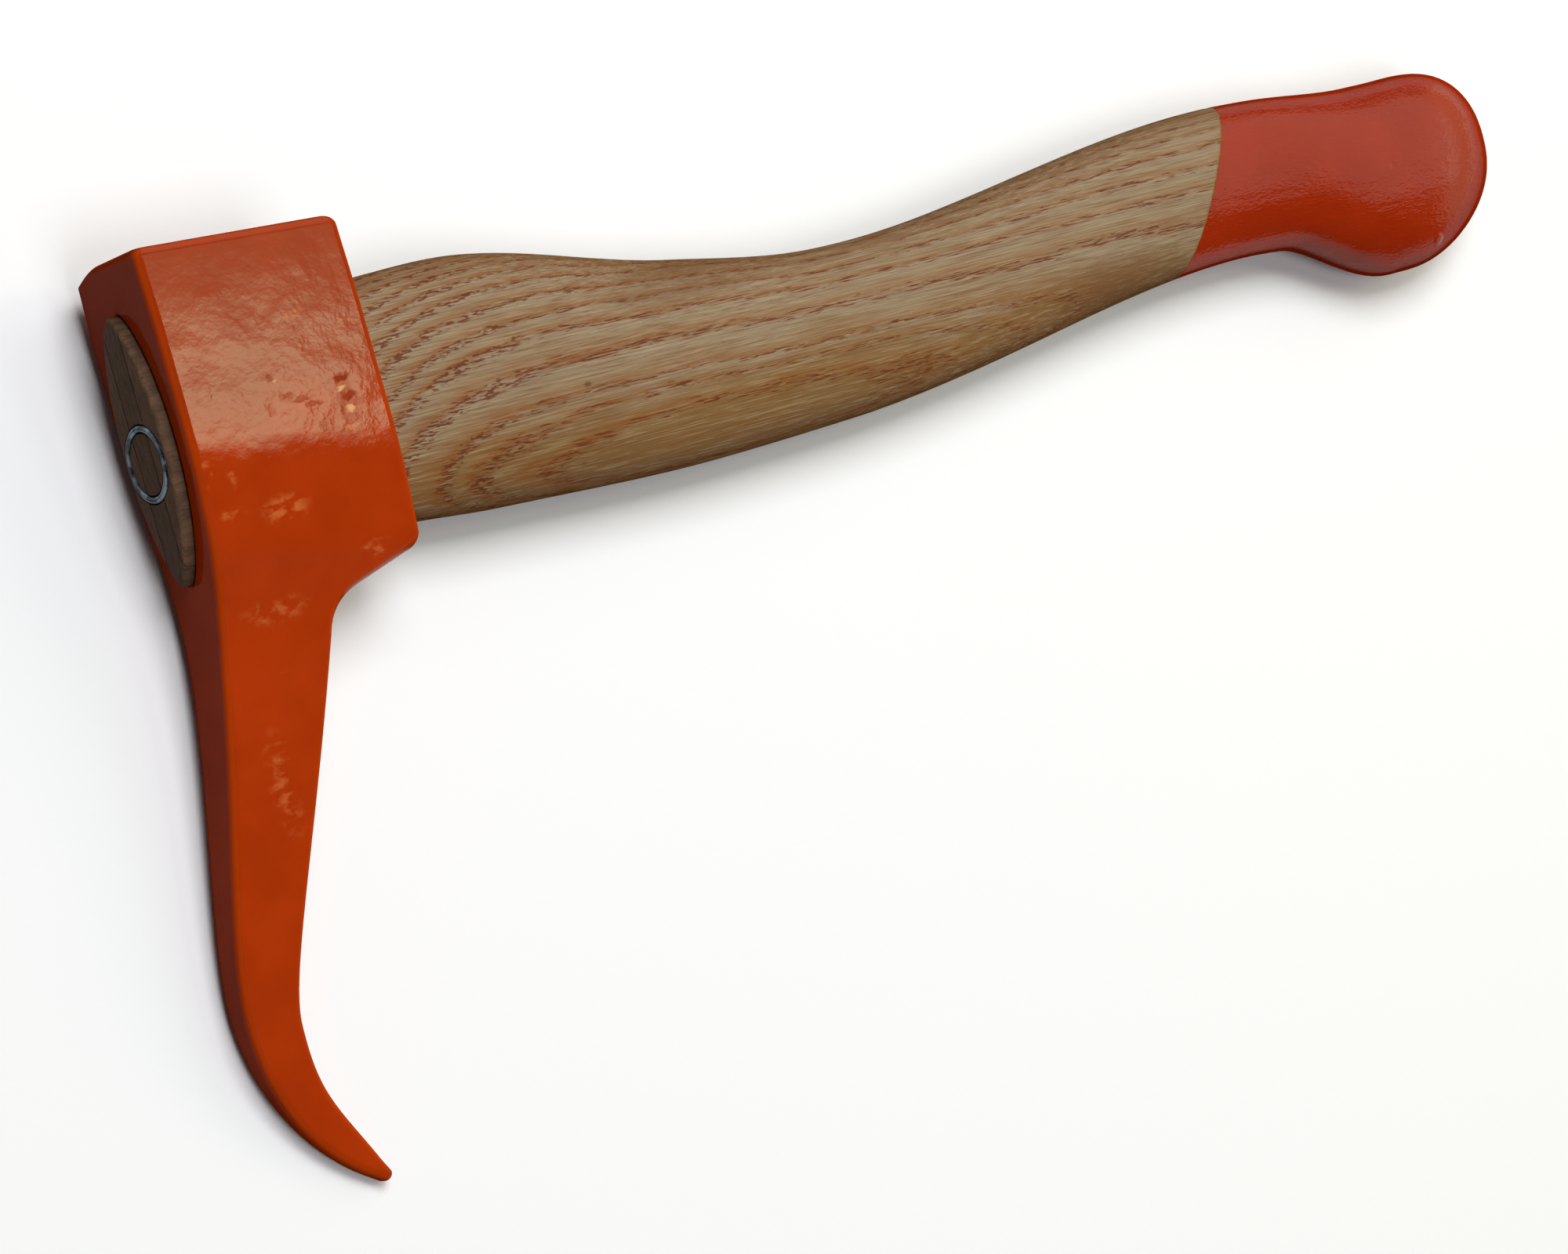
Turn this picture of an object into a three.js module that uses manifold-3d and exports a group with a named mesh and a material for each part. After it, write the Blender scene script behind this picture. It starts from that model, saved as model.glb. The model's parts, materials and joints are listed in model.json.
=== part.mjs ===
// Hand pickaroon: a forged steel head with a hooked spike, wedged on a short ash handle.
//
// Millimetres. Every piece is drawn in the tool's own axes: X from the end of the wood in
// the eye to the knob, Y from the spike up to the poll, Z toward the near cheek, with the
// origin on the end of the wood, at the middle of the ring wedge.
// The exported group lies as the tool lies when it is put down, on its far cheek, the tip
// of its spike and the side of its knob, with +Z up and the origin under its middle.

import * as THREE from "three";
import { mergeVertices } from "three/addons/utils/BufferGeometryUtils.js";
import Module from "manifold-3d";

// Fits
const fit = 0.3; // gap between neighbouring pieces
const overrun = 3; // how far a cutting shape runs past what it cuts

// Eye: an oval that flares from the handle's side to its mouth on the head's front
const eyeRise = 30; // mouth, centre line to its top
const eyeDrop = 25.5; // mouth, centre line to its bottom
const eyeWidth = 18.4; // mouth, across
const eyeWidest = 3; // how far over the centre line it is widest
const eyeFlareAbove = 4.2; // how much lower its top is on the handle's side
const eyeFlareBelow = 2.4; // how much higher its bottom is there
const eyeFlareAcross = 1.6; // how much narrower it is there
const eyeTopPower = 1.35; // 1 is an ellipse, more is more pointed
const eyeBottomPower = 1.5;

// Head block
const headLength = 46.7; // along the handle
const cheekWall = 5.4; // steel beside the eye
const pollWall = 11; // steel over the eye
const heelWall = 6.3; // steel under the eye, on the handle's side
const pollFall = 1.5; // how much lower the poll is on the handle's side
const pollTaper = 1.6; // how much thinner the head is at the poll than at its cheeks
const pollEdge = 2; // rounding round the poll
const blockEdge = 1.8; // rounding along the upright edges
const landTop = 25; // flat of the cheek, top over the centre line
const landBase = 2; // flat of the cheek, bottom over the centre line
const pollBevelWidth = 9.9; // hammered bevel on the far side of the poll
const pollBevelDrop = 3.6;

// Neck, where the block closes in to the spike
const neckDrop = 18; // centre line to where the front starts to lean forward
const closingDrop = 10; // centre line to where the cheeks start to close in
const closingThickness = 27.2;
const heelRadius = 2.4; // corner under the back of the block
const undersideFall = 6.4; // heel to the neck's corner, down
const neckDepth = 26; // head's front to the neck's corner
const neckFillet = 6.5; // length of the fillet's two legs at that corner
const neckThickness = 15.9;
const neckThicknessDrop = 43; // centre line to where the closing in ends

// Spike
const shankAngle = 21; // degrees that the shank's back edge leans from upright
const shankThickness = 14.6;
const shankThicknessDrop = 52; // centre line to where its slow taper starts
const bendDrop = 110.5; // centre line to the outside of the bend
const bendLean = 16.5; // how far the bend stands in front of the head
const bendWidth = 12; // outside to inside of the bend
const bendSlip = 4; // how much lower the inside of the bend is
const bendThickness = 8.7;
const hookDrop = 38.8; // outside of the bend to the point, down
const hookReach = 20.8; // and back toward the handle
const tipWidth = 2.8;
const tipThickness = 4;
const tipRound = 1.2; // length of the rounded point
const tipAngle = 38; // degrees that the point is turned from straight down
const spikeEdge = 1.9; // rounding along the spike's edges

// How the spike's edges curve, as shares of the way between the places above
const frontCurveShares = [0.35, 0.795]; // neck to bend, straight down at both
const backCurveShares = [0.52, 0.86]; // neck to bend, along the shank's lean and then down
const hookOutsideShares = { down: 0.53, across: 0.53, along: 0.85 };
const hookInsideShares = { down: 0.45, across: 0.38, along: 0.54 };
const frontStepShares = { heel: 0.07, underside: 0.16, neck: 0.27 };
const edgeShare = 0.45; // most of the head's width or thickness that a rounding may take

// Handle, from the end in the eye to the knob. A rise or a sink is where the middle of
// the wood lies over or under the centre line.
const woodProud = 2.5; // wood standing out of the eye
const endChamfer = 0.9; // worn edge of that end
const shoulderStep = 1.2; // shoulder over the eye, top and bottom
const shoulderThickness = 22.5;
const swellRun = 27; // shoulder to the swell behind the head
const swellHeight = 53.6;
const swellRise = 0.65;
const swellThickness = 23;
const slopeRun = 55; // swell to halfway down toward the throat
const slopeHeight = 44.4;
const slopeSink = 5.9;
const throatRun = 38; // from there to the throat
const throatHeight = 38.4;
const throatSink = 7.95;
const throatThickness = 20;
const waistRun = 36; // throat to where the grip's even height starts
const waistHeight = 36.9;
const gripRun = 87; // from there to the top of the grip's crook
const gripHeight = 36.4;
const gripRise = 3.8;
const gripThickness = 18.4;
const flareRun = 14; // grip to where the knob starts to flare
const flareHeight = 36.7;
const flareRise = 3.3;
const knobRun = 32; // flare to the knob
const knobHeight = 46.5;
const knobSink = 3.9;
const knobThickness = 23.5;
const domeRun = 6; // knob to where its end rounds off
const domeLength = 34.2;
const domeRise = 0.2;
const domePower = 2.25; // 2 is an ellipse, more is blunter
const domeCloseShare = 0.945; // how far round the dome the small flat on its end starts
const handlePower = 2.25; // section of the handle, likewise

// Wooden wedge, driven along the eye into a saw cut
const wedgeThickness = 6; // at the mouth
const wedgeEdge = 1.4; // at its thin end
const wedgeLength = 33;
const kerfRelief = 3; // saw cut left open past the wedge

// Ring wedge: a tapered steel tube driven across the wooden one
const ringMargin = 0.6; // wood left between its groove and the outside of the handle
const ringWall = 1.5;
const ringEdge = 0.7; // wall at the cutting edge
const ringTaper = 0.6; // how much less its radius is there
const ringLength = 17;
const ringProud = 0.3;

// Facets
const ovalSteps = 40;
const cornerSteps = 2;
const ringSteps = 36;
const blockSteps = 5;
const heelSteps = 3;
const undersideSteps = 3;
const filletSteps = 5;
const shankSteps = 11;
const hookSteps = 12;
const roundSteps = 3;
const handleSteps = 42;
const domeSteps = 9;

// Places and sizes that follow from the ones above
const headFront = woodProud;
const headBack = headFront + headLength;
const pollHeight = eyeRise + pollWall;
const heelDepth = eyeDrop - eyeFlareBelow + heelWall;
const cheekThickness = eyeWidth + 2 * cheekWall;
const pointDrop = bendDrop + hookDrop;
const shoulderAt = headBack + fit;
const shoulderRise = eyeRise - eyeFlareAbove + shoulderStep;
const shoulderDrop = eyeDrop - eyeFlareBelow + shoulderStep;
const swellAt = shoulderAt + swellRun;
const slopeAt = swellAt + slopeRun;
const throatAt = slopeAt + throatRun;
const waistAt = throatAt + waistRun;
const gripAt = waistAt + gripRun;
const flareAt = gripAt + flareRun;
const knobAt = flareAt + knobRun;
const domeAt = knobAt + domeRun;
const handleEnd = domeAt + domeLength;
const ringRadius = eyeWidth / 2 - fit - ringMargin - fit;

const { degToRad, lerp, mapLinear, clamp } = THREE.MathUtils;
const at = (x, y) => new THREE.Vector2(x, y);

const wasm = await Module();
wasm.setup();

// The shares of the way at the ends of a number of equal steps, from 0 to 1
function shares(steps) {
  return Array.from({ length: steps + 1 }, (_, step) => step / steps);
}

// A smooth curve through [place, value] stops that never swings past a stop
function through(stops) {
  const slopes = stops.slice(1).map(([place, value], i) => {
    const [from, start] = stops[i];
    return (value - start) / (place - from);
  });
  const tangents = stops.map((_, i) => {
    const before = slopes[i - 1] ?? 0;
    const after = slopes[i] ?? 0;
    return before * after > 0 ? (2 * before * after) / (before + after) : 0;
  });
  return (place) => {
    const passed = stops.findLastIndex(([stop]) => stop <= place);
    const i = clamp(passed, 0, stops.length - 2);
    const [from, start] = stops[i];
    const [to, end] = stops[i + 1];
    const t = clamp((place - from) / (to - from), 0, 1);
    const bow = tangents[i] * (1 - t) - tangents[i + 1] * t;
    return start + (end - start) * t * t * (3 - 2 * t) + bow * (to - from) * t * (1 - t);
  };
}

// A closed skin over rings of points. Each ring runs right-handed about the way of travel.
function loft(rings) {
  const around = rings[0].length;
  const points = rings.flat();
  const middle = (ring) => {
    const sum = ring.reduce((total, point) => total.add(point), new THREE.Vector3());
    return sum.divideScalar(around);
  };
  const start = points.push(middle(rings[0])) - 1;
  const end = points.push(middle(rings.at(-1))) - 1;
  const lastRing = (rings.length - 1) * around;
  const faces = [];
  for (let k = 0; k < around; k++) {
    const next = (k + 1) % around;
    for (let ring = 0; ring < lastRing; ring += around) {
      faces.push(ring + k, ring + next, ring + around + next);
      faces.push(ring + k, ring + around + next, ring + around + k);
    }
    faces.push(start, next, k);
    faces.push(end, lastRing + k, lastRing + next);
  }
  return new THREE.BufferGeometry().setFromPoints(points).setIndex(faces);
}

// A geometry as a solid that can be cut and joined
function solid(geometry) {
  const merged = mergeVertices(geometry.clone().deleteAttribute("normal").deleteAttribute("uv"));
  const mesh = new wasm.Mesh({
    numProp: 3,
    vertProperties: new Float32Array(merged.attributes.position.array),
    triVerts: new Uint32Array(merged.index.array),
  });
  return new wasm.Manifold(mesh);
}

// A finished piece: a solid back as a geometry, with its name, colour and finish
function piece(name, body, { color, roughness, metalness }) {
  const { vertProperties, triVerts } = body.getMesh();
  const geometry = new THREE.BufferGeometry();
  geometry.setAttribute("position", new THREE.BufferAttribute(vertProperties, 3));
  geometry.setIndex(new THREE.BufferAttribute(triVerts, 1));
  geometry.computeVertexNormals();
  const material = new THREE.MeshStandardMaterial({ color, roughness, metalness });
  const mesh = new THREE.Mesh(geometry, material);
  mesh.name = name;
  return mesh;
}

// One ring of an oval square to the handle. The powers square its ends and sides (under 1)
// or point them (over 1).
function ovalRing({ x, middle = 0, rise, drop, half, endPower = 1, topPower, bottomPower }) {
  return Array.from({ length: ovalSteps }, (_, step) => {
    const angle = (-2 * Math.PI * step) / ovalSteps;
    const up = Math.sin(angle);
    const across = Math.cos(angle);
    const reach = up > 0 ? rise : drop;
    const power = up > 0 ? topPower : bottomPower;
    const y = middle + reach * Math.sign(up) * Math.abs(up) ** endPower;
    return new THREE.Vector3(x, y, half * Math.sign(across) * Math.abs(across) ** power);
  });
}

// The eye's oval at a place along the handle, drawn in all round by an inset
function eyeRing(x, inset) {
  const toBack = (x - headFront) / headLength;
  return ovalRing({
    x,
    middle: eyeWidest,
    rise: eyeRise - eyeWidest - eyeFlareAbove * toBack - inset,
    drop: eyeDrop + eyeWidest - eyeFlareBelow * toBack - inset,
    half: (eyeWidth - eyeFlareAcross * toBack) / 2 - inset,
    topPower: eyeTopPower,
    bottomPower: eyeBottomPower,
  });
}

// The wood that fills the eye, before it is cut for its wedges
function eyeFilling() {
  return solid(
    loft([
      eyeRing(0, fit + endChamfer),
      eyeRing(endChamfer, fit),
      eyeRing(headFront, fit),
      eyeRing(shoulderAt + overrun, fit),
    ]),
  );
}

// The wooden wedge's taper, thicker by a gap on each side and longer by a relief, and far
// wider than the eye
function wedgeStrip(gap, relief) {
  const taper = (wedgeThickness - wedgeEdge) / wedgeLength;
  const half = (x) => (wedgeThickness - taper * x) / 2 + gap;
  const front = -overrun;
  const back = wedgeLength + relief;
  const outline = new THREE.Shape([
    at(front, -half(front)),
    at(back, -half(back)),
    at(back, half(back)),
    at(front, half(front)),
  ]);
  const depth = eyeRise + eyeDrop + 2 * overrun;
  const strip = new THREE.ExtrudeGeometry(outline, { depth, bevelEnabled: false });
  strip.rotateX(Math.PI / 2).translate(0, eyeRise + overrun, 0);
  return solid(strip);
}

// The ring wedge's tapered tube, thicker by a gap all round, from a place over the wood
function ringTube(gap, front) {
  const back = ringLength - ringProud + gap;
  const outline = [
    at(ringRadius - ringWall - gap, front),
    at(ringRadius + gap, front),
    at(ringRadius - ringTaper + gap, back),
    at(ringRadius - ringTaper - ringEdge - gap, back),
  ];
  const tube = new THREE.LatheGeometry([...outline, outline[0]], ringSteps);
  return solid(tube.rotateZ(-Math.PI / 2));
}

// The head's thickness by how high its front edge is
const headThickness = through([
  [-pointDrop, tipThickness],
  [-bendDrop, bendThickness],
  [-shankThicknessDrop, shankThickness],
  [-neckThicknessDrop, neckThickness],
  [-closingDrop, closingThickness],
  [landBase, cheekThickness],
  [landTop, cheekThickness],
  [pollHeight, cheekThickness - pollTaper],
]);

// One section of the head: a rounded rectangle from its front edge to its back edge
function headRing([front, back], edge, inset = 0) {
  const along = back.clone().sub(front);
  const width = along.length() - 2 * inset;
  const half = headThickness(front.y) / 2 - inset;
  const round = Math.min(edge, edgeShare * width, edgeShare * 2 * half);
  const outline = new THREE.Shape();
  outline.absarc(width - round, half - round, round, 0, Math.PI / 2);
  outline.absarc(round, half - round, round, Math.PI / 2, Math.PI);
  outline.absarc(round, round - half, round, Math.PI, 1.5 * Math.PI);
  outline.absarc(width - round, round - half, round, 1.5 * Math.PI, 2 * Math.PI);
  along.normalize();
  return outline.getPoints(cornerSteps).map((point) => {
    const place = front.clone().addScaledVector(along, inset + point.x);
    return new THREE.Vector3(place.x, place.y, point.y);
  });
}

// The block, from the poll down to where the front starts to lean
function blockRings() {
  const heelTop = heelRadius - heelDepth;
  const across = (y) => {
    const backY = mapLinear(y, pollHeight, -neckDrop, pollHeight - pollFall, heelTop);
    return [at(headFront, y), at(headBack, backY)];
  };
  const poll = shares(roundSteps).map((share) => {
    const turn = (share * Math.PI) / 2;
    const y = pollHeight - pollEdge * (1 - Math.cos(turn));
    return headRing(across(y), blockEdge, pollEdge * (1 - Math.sin(turn)));
  });
  const land = headRing(across(landTop), blockEdge);
  const cheeks = shares(blockSteps).map((share) => {
    const y = lerp(landBase, -neckDrop, share);
    return headRing(across(y), blockEdge);
  });
  return [...poll, land, ...cheeks];
}

// The neck, shank and hook, between the front edge and the back edge of the side view
function spikeRings() {
  const bendOutside = at(headFront - bendLean, -bendDrop);
  const bendInside = at(bendOutside.x + bendWidth, -bendDrop - bendSlip);
  const neckTop = at(headFront, -neckDrop);
  const [leaveShare, arriveShare] = frontCurveShares;
  const front = new THREE.CubicBezierCurve(
    neckTop,
    at(headFront, lerp(-neckDrop, -bendDrop, leaveShare)),
    at(bendOutside.x, lerp(-neckDrop, -bendDrop, arriveShare)),
    bendOutside,
  );

  const heel = at(headBack, -heelDepth);
  const heelTop = at(headBack, heelRadius - heelDepth);
  const neckCorner = at(headFront + neckDepth, -heelDepth - undersideFall);
  const toNeck = neckCorner.clone().sub(heel).normalize();
  const lean = at(-Math.sin(degToRad(shankAngle)), -Math.cos(degToRad(shankAngle)));
  const heelEnd = heel.clone().addScaledVector(toNeck, heelRadius);
  const filletStart = neckCorner.clone().addScaledVector(toNeck, -neckFillet);
  const root = neckCorner.clone().addScaledVector(lean, neckFillet);
  const [straightShare, easeShare] = backCurveShares;
  const shank = new THREE.CubicBezierCurve(
    root,
    root.clone().addScaledVector(lean, straightShare * root.distanceTo(bendInside)),
    at(bendInside.x, lerp(root.y, bendInside.y, easeShare)),
    bendInside,
  );

  const pointOutside = at(bendOutside.x + hookReach, -pointDrop);
  const across = at(Math.cos(degToRad(tipAngle)), Math.sin(degToRad(tipAngle)));
  const pointInside = pointOutside.clone().addScaledVector(across, tipWidth);
  const hookEdge = (start, end, { down, across: over, along }) =>
    new THREE.CubicBezierCurve(
      start,
      at(start.x, lerp(start.y, end.y, down)),
      at(lerp(start.x, end.x, over), lerp(start.y, end.y, along)),
      end,
    );
  const outside = hookEdge(bendOutside, pointOutside, hookOutsideShares);
  const inside = hookEdge(bendInside, pointInside, hookInsideShares);

  const { heel: heelShare, underside: undersideShare, neck: neckShare } = frontStepShares;
  const heelCorner = new THREE.QuadraticBezierCurve(heelTop, heel, heelEnd);
  const underside = new THREE.LineCurve(heelEnd, filletStart);
  const fillet = new THREE.QuadraticBezierCurve(filletStart, neckCorner, root);
  const stretches = [
    [heelSteps, front, 0, heelShare, heelCorner],
    [undersideSteps, front, heelShare, undersideShare, underside],
    [filletSteps, front, undersideShare, neckShare, fillet],
    [shankSteps, front, neckShare, 1, shank],
    [hookSteps, outside, 0, 1, inside],
  ];
  const rings = stretches.flatMap(([steps, frontEdge, from, to, backEdge]) => {
    const section = (share) => {
      const edges = [frontEdge.getPoint(lerp(from, to, share)), backEdge.getPoint(share)];
      return headRing(edges, spikeEdge);
    };
    return shares(steps).slice(1).map(section);
  });

  const onward = at(across.y, -across.x);
  const pointShares = shares(roundSteps + 1).slice(1, -1);
  const point = pointShares.map((share) => {
    const turn = (share * Math.PI) / 2;
    const shift = onward.clone().multiplyScalar(tipRound * Math.sin(turn));
    const edges = [pointOutside.clone().add(shift), pointInside.clone().add(shift)];
    return headRing(edges, spikeEdge, (tipWidth / 2) * (1 - Math.cos(turn)));
  });
  return [...rings, ...point];
}

// The forged head, with its eye and the bevel on its poll
function makeHead() {
  const forging = solid(loft([...blockRings(), ...spikeRings()]));
  const eye = solid(loft([eyeRing(headFront - overrun, 0), eyeRing(headBack + overrun, 0)]));

  const farCheek = -cheekThickness / 2;
  const slope = pollBevelDrop / pollBevelWidth;
  const side = farCheek - overrun;
  const top = pollHeight + overrun;
  const outline = new THREE.Shape([
    at(side, pollHeight - pollBevelDrop - slope * overrun),
    at(farCheek + pollBevelWidth + overrun / slope, top),
    at(side, top),
  ]);
  const depth = headLength + 2 * overrun;
  const bevel = new THREE.ExtrudeGeometry(outline, { depth, bevelEnabled: false });
  bevel.rotateY(-Math.PI / 2).translate(headBack + overrun, 0, 0);
  return forging.subtract(eye).subtract(solid(bevel));
}

// The handle: one length of wood whose tongue fills the eye, sawn for the wedges
function makeHandle() {
  const height = through([
    [shoulderAt, shoulderRise + shoulderDrop],
    [swellAt, swellHeight],
    [slopeAt, slopeHeight],
    [throatAt, throatHeight],
    [waistAt, waistHeight],
    [gripAt, gripHeight],
    [flareAt, flareHeight],
    [knobAt, knobHeight],
    [handleEnd, knobHeight],
  ]);
  const middle = through([
    [shoulderAt, (shoulderRise - shoulderDrop) / 2],
    [swellAt, swellRise],
    [slopeAt, -slopeSink],
    [throatAt, -throatSink],
    [gripAt, gripRise],
    [flareAt, flareRise],
    [knobAt, -knobSink],
    [domeAt, -knobSink],
    [handleEnd, domeRise],
  ]);
  const thickness = through([
    [shoulderAt, shoulderThickness],
    [swellAt, swellThickness],
    [throatAt, throatThickness],
    [gripAt, gripThickness],
    [knobAt, knobThickness],
    [handleEnd, knobThickness],
  ]);
  const section = (x, share = 1) =>
    ovalRing({
      x,
      middle: middle(x),
      rise: (share * height(x)) / 2,
      drop: (share * height(x)) / 2,
      half: (share * thickness(x)) / 2,
      endPower: 2 / handlePower,
      topPower: 2 / handlePower,
      bottomPower: 2 / handlePower,
    });
  const length = shares(handleSteps).map((share) => section(lerp(shoulderAt, domeAt, share)));
  const domeShares = [...shares(domeSteps).slice(1, -1), domeCloseShare];
  const dome = domeShares.map((share) => {
    const out = Math.sin((share * Math.PI) / 2);
    return section(domeAt + domeLength * out, (1 - out ** domePower) ** (1 / domePower));
  });
  const body = solid(loft([...length, ...dome]));
  const cuts = wedgeStrip(fit, kerfRelief).add(ringTube(fit, -overrun));
  return body.add(eyeFilling()).subtract(cuts);
}

function makeWoodenWedge() {
  return wedgeStrip(0, 0).intersect(eyeFilling()).subtract(ringTube(fit, -overrun));
}

function makeRingWedge() {
  return ringTube(0, -ringProud);
}

const enamel = { color: 0xb8410f, roughness: 0.3, metalness: 0 };
const ash = { color: 0xb08e62, roughness: 0.5, metalness: 0 };
const endGrain = { color: 0x7d6045, roughness: 0.7, metalness: 0 };
const zincSteel = { color: 0x8a949c, roughness: 0.35, metalness: 0.9 };

const head = piece("head", makeHead(), enamel);
const handle = piece("handle", makeHandle(), ash);
const woodenWedge = piece("wooden_wedge", makeWoodenWedge(), endGrain);
const ringWedge = piece("ring_wedge", makeRingWedge(), zincSteel);

// The corners of a mesh that pass a test, such as those of the knob alone
function corners(mesh, test) {
  const { position } = mesh.geometry.attributes;
  const all = Array.from({ length: position.count }, (_, i) =>
    new THREE.Vector3().fromBufferAttribute(position, i),
  );
  return all.filter(test);
}

// The way up when the tool lies on the ground, found from the three places that touch it
function wayUp() {
  const pads = [
    corners(head, (corner) => corner.y > -heelDepth),
    corners(head, (corner) => corner.y < -bendDrop),
    corners(handle, (corner) => corner.x > gripAt),
  ];
  const up = new THREE.Vector3(0, 0, 1);
  const ground = new THREE.Plane();
  for (let round = 0; round < 2 * pads.length; round++) {
    const lowest = pads.map((pad) =>
      pad.reduce((low, corner) => (corner.dot(up) < low.dot(up) ? corner : low)),
    );
    ground.setFromCoplanarPoints(...lowest);
    up.copy(ground.normal).multiplyScalar(Math.sign(ground.normal.z));
  }
  return up;
}

const tool = new THREE.Group();
tool.add(head, handle, woodenWedge, ringWedge);
tool.quaternion.setFromUnitVectors(wayUp(), new THREE.Vector3(0, 0, 1));
const lengthwise = new THREE.Vector3(1, 0, 0).applyQuaternion(tool.quaternion);
const heading = new THREE.Group();
heading.rotation.z = -Math.atan2(lengthwise.y, lengthwise.x);
heading.add(tool);
heading.updateMatrixWorld(true);
const box = new THREE.Box3().setFromObject(heading, true);
const underneath = box.getCenter(new THREE.Vector3()).setZ(box.min.z);

const pickaroon = new THREE.Group();
heading.position.sub(underneath);
pickaroon.add(heading);
pickaroon.updateMatrixWorld(true);

export default pickaroon;
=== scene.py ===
# A hand pickaroon lying on a pale studio floor: an orange forged head on a short ash handle.
import json
import math

import bmesh
import bpy
from mathutils import Color, Matrix, Vector


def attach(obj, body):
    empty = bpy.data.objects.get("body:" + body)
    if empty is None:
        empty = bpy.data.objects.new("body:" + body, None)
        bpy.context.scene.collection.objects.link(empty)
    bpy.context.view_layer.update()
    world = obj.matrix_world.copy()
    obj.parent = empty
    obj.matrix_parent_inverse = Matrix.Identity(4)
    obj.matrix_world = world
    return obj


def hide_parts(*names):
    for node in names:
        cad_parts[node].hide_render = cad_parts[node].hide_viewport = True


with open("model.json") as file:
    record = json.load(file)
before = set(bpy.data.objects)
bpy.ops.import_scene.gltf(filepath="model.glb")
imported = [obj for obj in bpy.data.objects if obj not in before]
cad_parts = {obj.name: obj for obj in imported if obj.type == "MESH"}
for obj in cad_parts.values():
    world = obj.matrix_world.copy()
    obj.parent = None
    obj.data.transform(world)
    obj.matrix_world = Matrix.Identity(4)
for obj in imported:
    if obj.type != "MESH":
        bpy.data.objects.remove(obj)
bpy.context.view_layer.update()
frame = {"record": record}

# The handle is one length of ash, shaped on a copying lathe, sanded and oiled. Its tongue
# fills the head's eye and stands 2.5 mm out of it. Behind the head it swells, thins to the
# grip, and ends in a knob that stops the hand from slipping off.

# All sizes are millimetres in the tool's own axes, until a piece is laid down
head_front = 2.5
head_length = 46.7
head_back = head_front + head_length
eye_rise = 30.0
eye_drop = 25.5
eye_half_width = 9.2
eye_widest = 3.0
eye_flare = {"above": 4.2, "below": 2.4, "across": 0.8}
tongue_gap = 0.3
tongue_middle = 20.0
worn_edge = 0.9
shoulder_at = head_back + 0.3
dome_at = 344.5
dome_length = 34.1
dome_end = 0.985
steps_around = 96

# How pointed the eye is at its ends, above and below, where 1 is an ellipse, and how round
# the handle is, where 2 is an ellipse and more is squarer
eye_powers = (1.0, 1.35, 1.5)
dome_power = 2.25

# The slanting plane that the grip was dipped to, and how thick the paint dried
dip_place = Vector((295.2, 21.8, 0))
dip_normal = Vector((0.835, -0.549, 0))
film_thickness = 0.12

# The flat of the near cheek: how high its middle is on the head, and how far out it stands
cheek_height = 13.5
cheek_out = 14.6

# Stops along the handle: how far from the end of the tongue, and the size there
handle_heights = [(49.5, 51.3), (76.5, 53.6), (131.5, 44.4), (169.5, 38.4), (205.5, 36.9)]
handle_heights += [(292.5, 36.4), (306.5, 36.7), (338.5, 46.5)]
handle_middles = [(49.5, 1.35), (76.5, 0.65), (131.5, -5.9), (169.5, -7.95), (292.5, 3.8)]
handle_middles += [(306.5, 3.3), (338.5, -3.9), (344.5, -3.9), (378.7, 0.2)]
handle_widths = [(49.5, 22.5), (76.5, 23.0), (169.5, 20.0), (292.5, 18.4), (338.5, 23.5)]


def along_curve(stops, place):
    """The value at a place on a smooth curve that never swings past its stops."""
    slopes = [(b[1] - a[1]) / (b[0] - a[0]) for a, b in zip(stops, stops[1:])]
    tangents = [0.0]
    for before, after in zip(slopes, slopes[1:]):
        agree = before * after > 0
        tangents.append(2 * before * after / (before + after) if agree else 0.0)
    tangents.append(0.0)
    i = sum(stop[0] <= place for stop in stops[1:-1])
    (start, low), (end, high) = stops[i], stops[i + 1]
    t = min(max((place - start) / (end - start), 0), 1)
    bow = tangents[i] * (1 - t) - tangents[i + 1] * t
    return low + (high - low) * t * t * (3 - 2 * t) + bow * (end - start) * t * (1 - t)


def shares(steps):
    """Even steps from 0 to 1."""
    return [step / steps for step in range(steps + 1)]


def bar(sections, around):
    """A closed bar: a cylinder with one ring for each section, pushed out to it."""
    bm = bmesh.new()
    bmesh.ops.create_cone(bm, cap_ends=True, segments=around, radius1=1, radius2=1, depth=1)
    lengthwise = [e for e in bm.edges if abs(e.verts[0].co.z - e.verts[1].co.z) > 0.5]
    bmesh.ops.subdivide_edges(bm, edges=lengthwise, cuts=len(sections) - 2)
    for vert in bm.verts:
        ring = round((vert.co.z + 0.5) * (len(sections) - 1))
        step = round(math.atan2(vert.co.y, vert.co.x) / math.tau * around) % around
        vert.co = sections[ring](step / around)
    bm.normal_update()
    bmesh.ops.recalc_face_normals(bm, faces=bm.faces)
    return bm


def oval(x, middle, rise, drop, half, end_power, top_power, bottom_power):
    """A section square to the handle, as a function of the share of a turn round it."""

    def point(share):
        up, across = math.sin(share * math.tau), math.cos(share * math.tau)
        reach, power = (rise, top_power) if up > 0 else (drop, bottom_power)
        y = middle + math.copysign(reach * abs(up) ** end_power, up)
        return Vector((x, y, math.copysign(half * abs(across) ** power, across)))

    return point


def eye_section(x, inset):
    """The eye's outline at one depth, tapering to the back, drawn in by an inset."""
    back = (x - head_front) / head_length
    rise = eye_rise - eye_widest - eye_flare["above"] * back - inset
    drop = eye_drop + eye_widest - eye_flare["below"] * back - inset
    half = eye_half_width - eye_flare["across"] * back - inset
    return oval(x, eye_widest, rise, drop, half, *eye_powers)


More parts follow.
